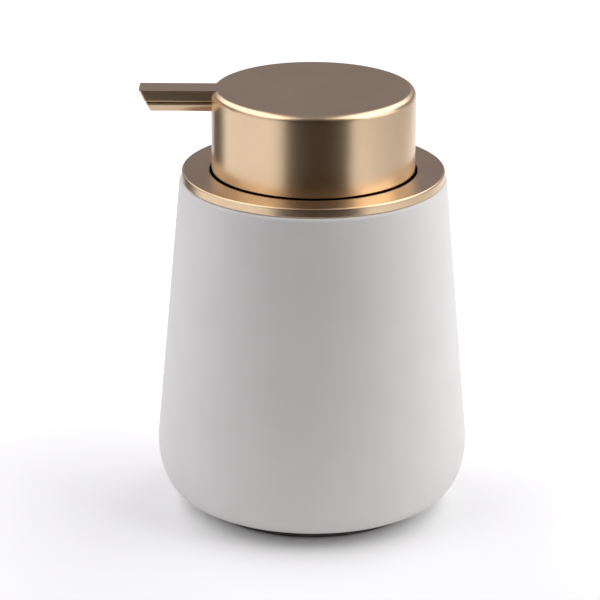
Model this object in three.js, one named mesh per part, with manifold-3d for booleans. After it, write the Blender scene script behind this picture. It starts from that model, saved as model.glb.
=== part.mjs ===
// A soap pump dispenser: a matt stoneware vessel, closed by a push-in pump unit with a satin brass
// collar ring, a wide round press cap and a short flat spout.
//
// Millimetres, +Z up. The origin is the middle of the base, on the surface that it stands on, and
// the spout points along -X. Everything round turns about the Z axis.

import * as THREE from 'three';
import { mergeVertices } from 'three/addons/utils/BufferGeometryUtils.js';
import Module from 'manifold-3d';

const wasm = await Module();
wasm.setup();

/* ------------------------------ driving dimensions ------------------------------ */

const WIDE = 48; // facets round the big pieces
const FINE = 24; // facets round the pump's own pieces
const FIT = 0.05; // gap between pieces that touch

const STROKE = 12; // how far the press cap goes down
const FLOAT = 1; // lost motion of the piston on its rod, which opens the outlet

const VESSEL = {
  widest: 42.5, // outer radius where the belly is widest
  rimZ: 92.4,
  taper: THREE.MathUtils.degToRad(5.03), // lean of the wall, inwards as it rises
  wall: 4.8,
  underZ: 3.7, // height of the belly's underside above the table
  bend: { r: 7.2, z: 13.9 }, // half axes of the round between the underside and the wall
  mouth: 31.5, // radius of the opening
  mouthDepth: 13.5,
  floorZ: 8.7,
  foot: 31.2,
  rimRound: 0.8,
};

const PAD = { radius: 30.6, height: 1.6, edge: 0.3 };

const RING = {
  outer: 35.4,
  hole: 27.95,
  bottomZ: VESSEL.rimZ + FIT,
  height: 2.5,
  plate: 1.3,
  skirt: 1.25,
  round: 0.4,
};
const RING_TOP = RING.bottomZ + RING.height;

const CUP = {
  well: 28.3, // radius inside the well that the cap sinks into
  outer: 30.2,
  floorZ: 82,
  floor: 1.6,
  groove: { depth: 0.7, low: 82.2, high: 90.6 },
};

const SEAL = { body: 30.7, fin: 31.4, fins: 3, finHeight: 1.5 };

const NECK = { bore: 9.3, root: 10.6, crest: 11.5, rimZ: 89.5, threadZ: 83.2, pitch: 3.2, turns: 1.15 };

const NUT = { outer: 13.7, inner: 11.9, crest: 10.95, bottomZ: 83.1, plate: 1.35, hole: 8.2, ribs: 16 };

const HOUSING = {
  flange: { radius: 11.4, thick: 1.25 },
  outer: 7.2,
  bore: 5.5,
  ledgeZ: 54,
  chamber: 3.3,
  seat: { radius: 1.6, lowZ: 46.8, highZ: 49 },
  socket: { outer: 4.5, bore: 3.1, topZ: 45.5, bottomZ: 36 },
};

const GASKET = { inner: 7.5, thick: 1.15 };
const GASKET_Z = NECK.rimZ + FIT;
const FLANGE_Z = GASKET_Z + GASKET.thick + FIT;
const FLANGE_TOP = FLANGE_Z + HOUSING.flange.thick;

const GUIDE = {
  flange: 7.9,
  flangeThick: 1.2,
  tower: 5.6,
  towerZ: 96.5,
  sleeve: 5.42,
  bore: 3.35,
  bottomZ: 85,
};

const STEM = {
  outer: 3.2,
  bore: 1.9,
  topZ: 112.6,
  bottomZ: 82,
  shoulder: { radius: 4, lowZ: 83.95, highZ: 84.95 }, // the guide collar stops it at the top of the stroke
};

const PISTON = { lip: 5.45, waist: 4.7, bore: 2.85, step: 3.5, pocket: 4.25, bottomZ: 76.65, topZ: 83.9 };

const ROD = {
  plug: 1.85, // pressed into the stem
  plugTopZ: 90,
  neck: 2.6,
  head: 4.9, // the piston seats on it, and the spring pushes on it from below
  headLowZ: 74.6,
  headHighZ: 76.6,
  tail: 2.4,
  tailZ: 68,
  duct: 1.1,
};

const SPRING = { radius: 4.35, wire: 0.9, turns: 7, steps: 16, sides: 6 };

const BALL = { radius: 2.4, centreZ: 48.75 };

const TUBE = { outer: 3, bore: 2, topZ: HOUSING.socket.topZ - 0.3, bottomZ: 10.2 };

const CAP = {
  radius: 27.35,
  bottomZ: RING_TOP,
  topZ: 117.4,
  wall: 1.2,
  roof: 1.5,
  round: 1.8,
  lip: 0.5,
};

const SPOUT = {
  reach: 46.5, // from the axis to the tip
  width: 7.7,
  sides: 3.05, // height of the cover's sides
  height: 6.2,
  lean: THREE.MathUtils.degToRad(25), // the tip's face leans back under the spout
  corner: 0.6,
  cover: 1.1,
  inset: 0.3, // how far the channel piece stands in from the cover's sides
  seam: 0.45, // height of the shadow line between the cover and the channel piece
  keel: 4.9, // width of the flat underneath
  edge: 0.4, // size of the round along the channel piece's upper edges
  duct: 1.3,
};
const SPOUT_LOW = CAP.topZ - SPOUT.height;
const COVER_LOW = CAP.topZ - SPOUT.sides;
const DUCT_Z = COVER_LOW - 0.2;

const CORE = {
  disc: 25.8,
  discThick: 1.1,
  hub: 6.4,
  lowZ: 110.2,
  socket: 3.3,
  ribs: 6,
  ribHeight: 2.4,
  slot: 4.6, // half the width of the slot that clears the channel piece
};

const SPOUT_SEAL = { outer: 2.1, thick: 1 };

/* ------------------------------------ finishes ------------------------------------ */

const finish = (colour, roughness, metalness = 0) =>
  new THREE.MeshStandardMaterial({ color: colour, roughness, metalness });

const stoneware = finish(0xe2e1de, 0.75);
const brass = finish(0xc29a70, 0.32, 1);
const blackPlastic = finish(0x191918, 0.5);
const naturalPlastic = finish(0xe9e9e4, 0.45);
const whitePlastic = finish(0xf1f1ee, 0.4);
const silicone = finish(0xd9dcdb, 0.35);
const rubber = finish(0x55534f, 0.85);
const steel = finish(0xb8babc, 0.25, 1);
const glass = finish(0xcfdad6, 0.1);

/* -------------------------------------- tools -------------------------------------- */

// A closed geometry as a manifold-3d solid.
function solidOf(geometry) {
  const bare = geometry.clone();
  bare.deleteAttribute('normal');
  bare.deleteAttribute('uv');
  const merged = mergeVertices(bare, 1e-4);
  return new wasm.Manifold(
    new wasm.Mesh({
      numProp: 3,
      vertProperties: merged.attributes.position.array,
      triVerts: new Uint32Array(merged.index.array),
    }),
  );
}

function geometryOf(solid) {
  const made = solid.getMesh();
  const geometry = new THREE.BufferGeometry();
  geometry.setAttribute('position', new THREE.BufferAttribute(made.vertProperties, 3));
  geometry.setIndex(new THREE.BufferAttribute(made.triVerts, 1));
  geometry.computeVertexNormals();
  return geometry;
}

// A piece turned about Z from an outline of [radius, height] points.
function turned(outline, facets = FINE) {
  const onAxis = outline[0][0] === 0 && outline.at(-1)[0] === 0;
  const points = onAxis ? [...outline] : [...outline, outline[0]];
  let area = 0;
  points.forEach(([r, z], i) => {
    const [nextR, nextZ] = points[(i + 1) % points.length];
    area += r * nextZ - nextR * z;
  });
  if (area < 0) points.reverse();
  const lathe = new THREE.LatheGeometry(points.map(([r, z]) => new THREE.Vector2(r, z)), facets);
  return lathe.rotateX(Math.PI / 2);
}

const turnedSolid = (outline, facets) => solidOf(turned(outline, facets));

const cylinder = (radius, low, high, facets = FINE) =>
  turnedSolid([[0, low], [radius, low], [radius, high], [0, high]], facets);

// Points on an ellipse's arc, as [radius, height], angles in degrees from the +radius side.
function arc(r, z, halfR, halfZ, from, to, steps) {
  const points = [];
  for (let i = 0; i <= steps; i += 1) {
    const angle = THREE.MathUtils.degToRad(from + ((to - from) * i) / steps);
    points.push([r + halfR * Math.cos(angle), z + halfZ * Math.sin(angle)]);
  }
  return points;
}

function block(lowX, highX, lowY, highY, lowZ, highZ) {
  const box = new THREE.BoxGeometry(highX - lowX, highY - lowY, highZ - lowZ);
  box.translate((lowX + highX) / 2, (lowY + highY) / 2, (lowZ + highZ) / 2);
  return solidOf(box);
}

// A cylinder lying along X.
function rod(radius, lowX, highX, z) {
  const bar = new THREE.CylinderGeometry(radius, radius, highX - lowX, FINE / 2);
  bar.rotateZ(Math.PI / 2).translate((lowX + highX) / 2, 0, z);
  return solidOf(bar);
}

// A convex section of [outwards, upwards] points swept up a helix about Z, closed at both ends.
function helix(section, radius, turns, steps, heightAt) {
  const places = Math.round(turns * steps);
  const sides = section.length;
  const positions = [];
  for (let i = 0; i <= places; i += 1) {
    const turn = i / steps;
    const angle = 2 * Math.PI * turn;
    for (const [out, up] of section) {
      const r = radius + out;
      positions.push(r * Math.cos(angle), r * Math.sin(angle), heightAt(turn) + up);
    }
  }
  const faces = [];
  for (let i = 0; i < places; i += 1) {
    for (let j = 0; j < sides; j += 1) {
      const a = i * sides + j;
      const b = i * sides + ((j + 1) % sides);
      faces.push(a, a + sides, b, b, a + sides, b + sides);
    }
  }
  for (let j = 1; j < sides - 1; j += 1) {
    const end = places * sides;
    faces.push(0, j, j + 1, end, end + j + 1, end + j);
  }
  const geometry = new THREE.BufferGeometry();
  geometry.setAttribute('position', new THREE.Float32BufferAttribute(positions, 3));
  geometry.setIndex(faces);
  return geometry;
}

// One helical screw thread, from a root just inside the wall to its crest.
function thread(root, crest, lowZ) {
  const foot = 0.95;
  const top = 0.35;
  const section = [[root, -foot], [crest, -top], [crest, top], [root, foot]];
  if (crest < root) section.reverse();
  return solidOf(helix(section, 0, NECK.turns, FINE, (turn) => lowZ + NECK.pitch * turn));
}

const dispenser = new THREE.Group();

function add(name, geometry, material) {
  const mesh = new THREE.Mesh(geometry, material);
  mesh.name = name;
  dispenser.add(mesh);
}

/* ------------------------------------- vessel ------------------------------------- */

function makeVessel() {
  const { widest, rimZ, taper, wall, underZ, bend, mouth, mouthDepth, floorZ, foot, rimRound } = VESSEL;
  const bendR = widest - bend.r;
  const bendZ = underZ + bend.z;
  const meet = Math.atan2(Math.tan(taper) * bend.z, bend.r); // where the bend runs into the wall
  const meetR = bendR + bend.r * Math.cos(meet);
  const meetZ = bendZ + bend.z * Math.sin(meet);
  const wallAt = (z) => meetR - Math.tan(taper) * (z - meetZ);
  const rim = wallAt(rimZ);
  const footZ = PAD.height + FIT;
  const hollow = { radius: 25, height: 1.2 };
  const shoulder = 5; // height of the slope from the mouth out to the full width inside
  const outline = [
    [0, footZ + hollow.height],
    [hollow.radius, footZ + hollow.height],
    [hollow.radius + 0.6, footZ],
    [foot - 0.5, footZ],
    [foot, footZ + 0.5],
    [foot, underZ - 0.4],
    [foot + 0.4, underZ],
    ...arc(bendR, bendZ, bend.r, bend.z, -90, THREE.MathUtils.radToDeg(meet), 9),
    ...arc(rim - rimRound, rimZ - rimRound, rimRound, rimRound, 0, 90, 3),
    ...arc(mouth + 0.4, rimZ - 0.4, 0.4, 0.4, 90, 180, 1),
    [mouth, rimZ - mouthDepth],
    [wallAt(rimZ - mouthDepth - shoulder) - wall, rimZ - mouthDepth - shoulder],
    [wallAt(bendZ) - wall, bendZ],
    ...arc(bendR - 3, bendZ, bend.r - wall + 3, bendZ - floorZ, 0, -90, 5).slice(1),
    [0, floorZ],
  ];
  add('ceramic_vessel', turned(outline, WIDE), stoneware);
}

function makePad() {
  const { radius, height, edge } = PAD;
  const outline = [[0, 0], [radius - edge, 0], [radius, edge], [radius, height], [0, height]];
  add('base_pad', turned(outline, WIDE), rubber);
}

/* ------------------------------- collar, cup and seal ------------------------------- */

function makeRing() {
  const { outer, hole, bottomZ, height, plate, skirt, round } = RING;
  const top = bottomZ + height;
  const outline = [
    [outer - skirt, bottomZ],
    [outer - 0.2, bottomZ],
    [outer, bottomZ + 0.2],
    ...arc(outer - round, top - round, round, round, 0, 90, 2),
    ...arc(hole + 0.3, top - 0.3, 0.3, 0.3, 90, 180, 1),
    [hole, top - plate],
    [outer - skirt, top - plate],
  ];
  add('collar_ring', turned(outline, WIDE), brass);
}

function makeCup() {
  const { well, outer, floorZ, floor, groove } = CUP;
  const flangeTop = RING_TOP - RING.plate - FIT;
  const flange = RING.outer - RING.skirt - 0.15;
  const outline = [
    [NECK.bore, floorZ - floor],
    [outer - 1, floorZ - floor],
    [outer, floorZ - floor + 1],
    [outer, groove.low],
    [outer - groove.depth, groove.low],
    [outer - groove.depth, groove.high],
    [outer, groove.high],
    [outer, VESSEL.rimZ + FIT],
    [flange, VESSEL.rimZ + FIT],
    [flange, flangeTop],
    [well, flangeTop],
    [well, floorZ],
    [NECK.root, floorZ],
    [NECK.root, NECK.rimZ - 0.3],
    [NECK.root - 0.3, NECK.rimZ],
    [NECK.bore, NECK.rimZ],
  ];
  const cup = turnedSolid(outline, WIDE).add(thread(NECK.root - 0.3, NECK.crest, NECK.threadZ));
  add('well_cup', geometryOf(cup), blackPlastic);
}

function makeSeal() {
  const { body, fin, fins, finHeight } = SEAL;
  const inner = CUP.outer - CUP.groove.depth + FIT;
  const low = CUP.groove.low + FIT;
  const high = CUP.groove.high - FIT;
  const outline = [[inner, low], [body, low]];
  for (let i = 0; i < fins; i += 1) {
    const middle = low + ((high - low) * (i + 0.5)) / fins;
    outline.push([body, middle - finHeight / 2]);
    outline.push([fin, middle + finHeight / 4]);
    outline.push([body, middle + finHeight / 2]);
  }
  outline.push([body, high], [inner, high]);
  add('stopper_seal', turned(outline, WIDE), silicone);
}

/* ---------------------------------- pump, fixed parts ---------------------------------- */

function makeNut() {
  const { outer, inner, crest, bottomZ, plate, hole, ribs } = NUT;
  const top = FLANGE_TOP + FIT + plate;
  let nut = turnedSolid([
    [inner, bottomZ],
    [outer, bottomZ],
    [outer, top - 0.6],
    [outer - 0.6, top],
    [hole, top],
    [hole, top - plate],
    [inner, top - plate],
  ]);
  nut = nut.add(thread(inner + 0.3, crest, NECK.threadZ + NECK.pitch / 2));
  const grip = block(outer - 0.5, outer + 0.35, -0.35, 0.35, bottomZ, top - 1.2);
  for (let i = 0; i < ribs; i += 1) nut = nut.add(grip.rotate(0, 0, (360 * i) / ribs));
  add('closure_nut', geometryOf(nut), blackPlastic);
}

function makeGasket() {
  const outer = HOUSING.flange.radius;
  const outline = [
    [GASKET.inner, GASKET_Z],
    [outer, GASKET_Z],
    [outer, GASKET_Z + GASKET.thick],
    [GASKET.inner, GASKET_Z + GASKET.thick],
  ];
  add('neck_gasket', turned(outline), silicone);
}

function makeHousing() {
  const { flange, outer, bore, ledgeZ, chamber, seat, socket } = HOUSING;
  const outline = [
    [socket.bore, socket.bottomZ],
    [socket.outer, socket.bottomZ],
    [socket.outer, seat.highZ - 1],
    [outer, ledgeZ - 1],
    [outer, FLANGE_Z],
    [flange.radius, FLANGE_Z],
    [flange.radius, FLANGE_TOP],
    [bore, FLANGE_TOP],
    [bore, ledgeZ],
    [chamber, ledgeZ],
    [chamber, seat.highZ],
    [seat.radius, seat.lowZ],
    [seat.radius, socket.topZ],
    [socket.bore, socket.topZ],
  ];
  let housing = turnedSolid(outline);
  // Three beads over the ball keep it in its chamber.
  const bead = block(2.1, chamber + 0.5, -0.6, 0.6, ledgeZ - 0.9, ledgeZ - 0.1);
  for (const angle of [0, 120, 240]) housing = housing.add(bead.rotate(0, 0, angle));
  // A small hole lets air into the vessel as the soap goes out.
  housing = housing.subtract(rod(0.6, bore - 1, outer + 1, FLANGE_Z - 4));
  add('pump_housing', geometryOf(housing), naturalPlastic);
}

function makeGuide() {
  const { flange, flangeThick, tower, towerZ, sleeve, bore, bottomZ } = GUIDE;
  const low = FLANGE_TOP + FIT;
  const outline = [
    [bore, bottomZ],
    [sleeve, bottomZ],
    [sleeve, low],
    [flange, low],
    [flange, low + flangeThick],
    [tower, low + flangeThick],
    [tower, towerZ - 0.5],
    [tower - 0.5, towerZ],
    [bore, towerZ],
  ];
  add('guide_collar', turned(outline), whitePlastic);
}

function makeSpring() {
  const { radius, wire, turns, steps, sides } = SPRING;
  const section = [];
  for (let i = 0; i < sides; i += 1) {
    const angle = (2 * Math.PI * i) / sides;
    section.push([(wire / 2) * Math.cos(angle), (wire / 2) * Math.sin(angle)]);
  }
  const low = HOUSING.ledgeZ + wire / 2 + FIT;
  const high = ROD.headLowZ - wire / 2 - FIT;
  const closed = 1; // turns laid flat at each end
  const flat = wire * 1.06;
  const pitch = (high - low - 2 * closed * flat) / (turns - 2 * closed);
  const heightAt = (turn) => {
    const start = Math.min(turn, closed);
    const end = Math.max(turn - (turns - closed), 0);
    return low + (start + end) * flat + (turn - start - end) * pitch;
  };
  add('return_spring', helix(section, radius, turns, steps, heightAt), steel);
}

function makeDipTube() {
  const { outer, bore, topZ, bottomZ } = TUBE;
  const tube = turnedSolid([[bore, bottomZ], [outer, bottomZ], [outer, topZ], [bore, topZ]]);
  // The lower end is cut on the slant, so that it can't seal itself against the floor.
  const knife = new THREE.BoxGeometry(40, 40, 10);
  knife.translate(0, 0, -5).rotateY(THREE.MathUtils.degToRad(35)).translate(0, 0, bottomZ + outer * 0.7);
  add('dip_tube', geometryOf(tube.subtract(solidOf(knife))), naturalPlastic);
}

function makeBall() {
  const ball = new THREE.SphereGeometry(BALL.radius, 16, 10);
  ball.rotateX(Math.PI / 2).translate(0, 0, BALL.centreZ);
  add('inlet_ball', ball, glass);
}

/* --------------------------------- pump, moving parts --------------------------------- */

function makeStem() {
  const { outer, bore, topZ, bottomZ, shoulder } = STEM;
  const outline = [
    [bore, bottomZ],
    [outer, bottomZ],
    [outer, shoulder.lowZ],
    [shoulder.radius, shoulder.lowZ],
    [shoulder.radius, shoulder.highZ],
    [outer, shoulder.highZ],
    [outer, topZ - 0.5],
    [outer - 0.5, topZ],
    [bore, topZ],
  ];
  add('stem', turned(outline), whitePlastic);
}

function makeRod() {
  const { plug, plugTopZ, neck, head, headLowZ, headHighZ, tail, tailZ, duct } = ROD;
  let body = turnedSolid([
    [0, tailZ],
    [tail - 0.6, tailZ],
    [tail, tailZ + 0.6],
    [tail, headLowZ],
    [head, headLowZ],
    [head, headHighZ - 0.6],
    [head - 0.9, headHighZ],
    [neck, headHighZ],
    [neck, STEM.bottomZ - FIT],
    [plug, STEM.bottomZ - FIT],
    [plug, plugTopZ],
    [0, plugTopZ],
  ]);
  body = body.subtract(cylinder(duct, headHighZ + 0.8, plugTopZ + 1));
  const hole = rod(0.8, -neck - 1, neck + 1, headHighZ + 1.8);
  body = body.subtract(hole).subtract(hole.rotate(0, 0, 90));
  add('valve_rod', geometryOf(body), whitePlastic);
}

function makePiston() {
  const { lip, waist, bore, step, pocket, bottomZ, topZ } = PISTON;
  const stepZ = STEM.bottomZ - FLOAT - 0.5;
  const pocketZ = STEM.shoulder.lowZ - FLOAT - FIT;
  const outline = [
    [bore, bottomZ],
    [ROD.head - 1, bottomZ],
    [lip - 0.25, bottomZ - 0.2],
    [lip, bottomZ + 0.2],
    [waist, bottomZ + 2.2],
    [waist, topZ - 2.2],
    [lip, topZ - 0.3],
    [lip - 0.3, topZ],
    [pocket, topZ],
    [pocket, pocketZ],
    [step, pocketZ],
    [step, stepZ],
    [bore, stepZ],
  ];
  add('piston', turned(outline), naturalPlastic);
}

/* --------------------------------------- head --------------------------------------- */

// The spout's outline from above, as a prism that leans back to match the tip's face.
function spoutPrism(halfWidth, tipX, rootX, lowZ, highZ, corner) {
  const plan = new THREE.Shape();
  plan.moveTo(rootX, -halfWidth);
  plan.lineTo(rootX, halfWidth);
  plan.lineTo(tipX + corner, halfWidth);
  plan.absarc(tipX + corner, halfWidth - corner, corner, Math.PI / 2, Math.PI, false);
  plan.absarc(tipX + corner, corner - halfWidth, corner, Math.PI, 1.5 * Math.PI, false);
  const depth = highZ - lowZ;
  const prism = new THREE.ExtrudeGeometry(plan, { depth, bevelEnabled: false, curveSegments: 4 });
  prism.translate(0, 0, lowZ - CAP.topZ);
  prism.applyMatrix4(new THREE.Matrix4().makeShear(0, 0, 0, 0, -Math.tan(SPOUT.lean), 0));
  return solidOf(prism.translate(0, 0, CAP.topZ));
}

// The channel piece's section, swept along +X. The slot that it passes through is the same, larger by grow.
function channelBar(lowX, highX, grow) {
  const stem = SPOUT.width / 2 - SPOUT.cover - FIT + grow;
  const shelf = SPOUT.width / 2 - SPOUT.inset + grow;
  const shelfZ = COVER_LOW - SPOUT.seam + grow;
  const half = [
    [SPOUT.keel / 2 + grow, SPOUT_LOW - grow],
    [shelf - SPOUT.edge, shelfZ - 3 * SPOUT.edge],
    [shelf, shelfZ - SPOUT.edge],
    [shelf, shelfZ],
    [stem, shelfZ],
    [stem, CAP.topZ - SPOUT.cover - FIT + grow],
  ];
  const section = new THREE.Shape();
  half.forEach(([y, z], i) => (i ? section.lineTo(y, z) : section.moveTo(y, z)));
  [...half].reverse().forEach(([y, z]) => section.lineTo(-y, z));
  const bar = new THREE.ExtrudeGeometry(section, { depth: highX - lowX, bevelEnabled: false });
  // The section's x and y become the part's y and z, so the sweep runs along +X.
  const turn = new THREE.Matrix4().makeBasis(
    new THREE.Vector3(0, 1, 0),
    new THREE.Vector3(0, 0, 1),
    new THREE.Vector3(1, 0, 0),
  );
  return solidOf(bar.applyMatrix4(turn).translate(lowX, 0, 0));
}

const SPOUT_ROOT = -20;
const CHANNEL_END = -13;
const CORE_FACE = CHANNEL_END + SPOUT_SEAL.thick + 2 * FIT;

function makeCap() {
  const { radius, bottomZ, topZ, wall, roof, round, lip } = CAP;
  let cap = turnedSolid([
    [radius - wall, bottomZ],
    ...arc(radius - lip, bottomZ + lip, lip, lip, -78, 0, 3),
    ...arc(radius - round, topZ - round, round, round, 0, 90, 5),
    [0, topZ],
    [0, topZ - roof],
    [radius - wall, topZ - roof],
  ], WIDE);
  cap = cap.add(spoutPrism(SPOUT.width / 2, -SPOUT.reach, SPOUT_ROOT, COVER_LOW, topZ, SPOUT.corner));
  const inside = cylinder(radius - wall, bottomZ - 1, topZ - roof, WIDE);
  cap = cap.subtract(inside);
  // The channel under the cover's roof, and the slot through the wall that the channel piece passes.
  const half = SPOUT.width / 2 - SPOUT.cover;
  const tip = -SPOUT.reach + SPOUT.cover;
  cap = cap.subtract(spoutPrism(half, tip, CORE_FACE, COVER_LOW - FIT, topZ - SPOUT.cover, 0.4));
  cap = cap.subtract(channelBar(-radius - 1, -radius + 4, FIT));
  add('press_cap', geometryOf(cap), brass);
}

function makeChannel() {
  const tip = -SPOUT.reach;
  let channel = channelBar(tip - 1, CHANNEL_END, 0);
  // Under the cover the piece stands in a little all round, and above that it fits inside the cover's walls.
  const { inset, cover, corner, width } = SPOUT;
  const under = spoutPrism(width / 2 - inset, tip + inset, 0, SPOUT_LOW - 1, COVER_LOW, corner - inset);
  const inner = width / 2 - cover - FIT;
  const within = spoutPrism(inner, tip + cover + FIT, 0, COVER_LOW - 1, CAP.topZ, 0.4);
  channel = channel.intersect(under.add(within));
  const outletX = tip + 5.2;
  channel = channel.subtract(rod(SPOUT.duct, outletX, CHANNEL_END + 1, DUCT_Z));
  const outlet = cylinder(SPOUT.duct, SPOUT_LOW - 1, DUCT_Z, FINE / 2);
  channel = channel.subtract(outlet.translate([outletX + SPOUT.duct, 0, 0]));
  add('spout_channel', geometryOf(channel), brass);
}

// The washer squeezed between the channel piece's end and the core's duct.
function makeSpoutSeal() {
  const washer = rod(SPOUT_SEAL.outer, CHANNEL_END + FIT, CORE_FACE - FIT, DUCT_Z);
  const hole = rod(SPOUT.duct, CHANNEL_END - 1, CORE_FACE + 1, DUCT_Z);
  add('spout_seal', geometryOf(washer.subtract(hole)), silicone);
}

function makeCore() {
  const { disc, discThick, hub, lowZ, socket, ribs, ribHeight, slot } = CORE;
  const top = CAP.topZ - CAP.roof - FIT;
  const ceiling = DUCT_Z + SPOUT.duct;
  let core = turnedSolid([
    [0, ceiling],
    [SPOUT.duct + 0.4, ceiling],
    [SPOUT.duct + 0.4, STEM.topZ + 0.1],
    [socket, STEM.topZ + 0.1],
    [socket, lowZ + 0.4],
    [socket + 0.4, lowZ],
    [hub - 0.5, lowZ],
    [hub, lowZ + 0.5],
    [hub, top - discThick],
    [disc, top - discThick],
    [disc, top],
    [0, top],
  ], WIDE / 2);
  const rib = block(hub - 0.5, disc - 1.5, -0.6, 0.6, top - discThick - ribHeight, top - 0.3);
  for (let i = 0; i < ribs; i += 1) core = core.add(rib.rotate(0, 0, (360 * (i + 0.5)) / ribs));
  core = core.subtract(block(-disc - 1, CORE_FACE, -slot, slot, lowZ, CAP.topZ));
  const arm = rod(SPOUT_SEAL.outer + 0.6, CORE_FACE, -hub + 1, DUCT_Z);
  core = core.add(arm.intersect(block(-disc, 0, -slot, slot, lowZ, top)));
  core = core.subtract(rod(SPOUT.duct, CORE_FACE - 1, 0, DUCT_Z));
  add('actuator_core', geometryOf(core), whitePlastic);
}

makeVessel();
makePad();
makeRing();
makeCup();
makeSeal();
makeNut();
makeGasket();
makeHousing();
makeGuide();
makeSpring();
makeDipTube();
makeBall();
makeStem();
makeRod();
makePiston();
makeCap();
makeChannel();
makeSpoutSeal();
makeCore();

export default dispenser;
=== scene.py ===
# %% [markdown]
# # A ceramic soap pump dispenser
#
# The real object is a matt stoneware vessel with a pump unit pushed into its mouth. Everything on it is
# round, so nearly every piece is an outline turned about one upright axis. Only the spout is not round.
#
# The CAD model gives the sizes, the places and the joints. This notebook makes each piece again as a fine
# mesh in the same place, and gives it the finish that the real one has.

import math

import bmesh
import bpy
from mathutils import Matrix, Vector


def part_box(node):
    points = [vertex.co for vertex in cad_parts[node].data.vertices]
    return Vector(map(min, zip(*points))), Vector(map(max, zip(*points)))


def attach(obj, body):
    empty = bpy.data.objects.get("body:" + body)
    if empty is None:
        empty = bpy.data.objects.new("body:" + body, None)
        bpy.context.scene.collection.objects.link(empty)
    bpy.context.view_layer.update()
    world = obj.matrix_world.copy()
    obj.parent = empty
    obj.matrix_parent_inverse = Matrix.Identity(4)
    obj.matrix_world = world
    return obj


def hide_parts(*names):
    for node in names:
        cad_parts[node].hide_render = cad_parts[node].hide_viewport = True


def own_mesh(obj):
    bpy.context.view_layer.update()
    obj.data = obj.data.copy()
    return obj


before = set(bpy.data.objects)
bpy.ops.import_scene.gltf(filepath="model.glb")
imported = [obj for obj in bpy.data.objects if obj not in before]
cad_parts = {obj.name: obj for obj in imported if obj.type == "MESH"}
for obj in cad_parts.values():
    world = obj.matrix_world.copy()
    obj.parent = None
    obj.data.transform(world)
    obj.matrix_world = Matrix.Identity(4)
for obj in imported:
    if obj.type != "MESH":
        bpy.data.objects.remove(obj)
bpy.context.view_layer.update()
MM = 0.001
FIT = 0.05  # mm, the gap between pieces that touch

# %% [markdown]
# ## Sizes
#
# A CAD node's box says how wide it is and how high it stands, in metres. All outlines here are in
# millimetres, which are easier to read on something this small, so the boxes are turned into those first.

# %% Boxes in millimetres
def size_of(node):
    """A round CAD node's outer radius, and its lowest and highest point, in millimetres."""
    low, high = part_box(node)
    return high.x / MM, low.z / MM, high.z / MM


vessel_radius, vessel_low, rim_z = size_of("ceramic_vessel")
pad_radius, pad_low, pad_high = size_of("base_pad")
ring_radius, ring_low, ring_high = size_of("collar_ring")
cap_radius, cap_low, cap_high = size_of("press_cap")
spout_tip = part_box("press_cap")[0].x / MM
spout_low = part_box("spout_channel")[0].z / MM
print("vessel", vessel_radius, "ring", ring_radius, "cap", cap_radius, "spout tip", spout_tip)

# %% [markdown]
# ## Turning an outline
#
# A potter's wheel, a lathe and a round mould all make the same kind of shape: one outline carried round an
# axis. In Blender that is `bmesh.ops.spin`. The outline is a chain of points, each with its distance from
# the axis, its height, and the radius that its corner is rounded to. The corners are rounded with a vertex
# bevel while the outline is still a thin wire, which is easier than rounding whole edges later.
#
# A straight stretch gets an extra point close to each end. It keeps the shading of a flat face flat, so
# that a soft corner doesn't spread a false gradient over it.

# %% Outline and spin helpers
AROUND = 128  # facets round a big piece
SLIM = 64  # facets round a small one
HOLD = 0.25  # mm from a corner to the point that holds the flat face beside it
SHARP = math.radians(38)


def wire(bm, outline, steps):
    """Draws an outline of (radius, height, corner radius) points as a closed wire, corners rounded."""
    points = [bm.verts.new((r, 0, z)) for r, z, _ in outline]
    ends = list(zip(points, points[1:] + points[:1]))
    if outline[0][0] == 0 and outline[-1][0] == 0:
        ends.pop()  # the axis itself closes the outline
    for a, b in ends:
        bm.edges.new((a, b))
    for point, (_, _, corner) in zip(points, outline):
        if corner:
            bmesh.ops.bevel(
                bm, geom=[point], offset=corner, offset_type="OFFSET", segments=steps,
                profile=0.5, affect="VERTICES", material=-1,
            )
    for edge in list(bm.edges):
        length = edge.calc_length()
        if length > 6 * HOLD:
            near, far = edge.verts
            _, held = bmesh.utils.edge_split(edge, near, HOLD / length)
            rest = bm.edges.get((held, far))
            bmesh.utils.edge_split(rest, far, HOLD / rest.calc_length())


def finished(bm, name):
    """Merges doubles, recalculates normals, marks crisp edges and makes the object, in metres."""
    bmesh.ops.remove_doubles(bm, verts=bm.verts, dist=1e-4)
    bmesh.ops.dissolve_degenerate(bm, edges=bm.edges, dist=1e-4)
    bmesh.ops.recalc_face_normals(bm, faces=bm.faces)
    for face in bm.faces:
        face.smooth = True
    for edge in bm.edges:
        edge.smooth = edge.is_manifold and edge.calc_face_angle() < SHARP
    bmesh.ops.scale(bm, vec=(MM, MM, MM), verts=bm.verts)
    mesh = bpy.data.meshes.new(name)
    bm.to_mesh(mesh)
    bm.free()
    piece = bpy.data.objects.new(name, mesh)
    bpy.context.scene.collection.objects.link(piece)
    print(f"{name}: {len(mesh.polygons)} faces")
    return piece


def turned(name, outline, around=AROUND, steps=4):
    bm = bmesh.new()
    wire(bm, outline, steps)
    bmesh.ops.spin(
        bm, geom=bm.verts[:] + bm.edges[:], cent=(0, 0, 0), axis=(0, 0, 1),
        angle=2 * math.pi, steps=around, use_merge=True,
    )
    return finished(bm, name)


print("helpers ready")

# %% [markdown]
# ## The stoneware vessel
#
# The real one is slip-cast: liquid clay takes the shape of a plaster mould, so its wall is even and every
# edge is soft. The wall leans in by about five degrees as it rises. Below, it meets the underside in a bend
# that is taller than it is wide, which is a quarter of an ellipse rather than of a circle, and the arc is
# written as a formula so that it stays smooth. The dispenser stands on a foot ring narrower than the belly.

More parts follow.
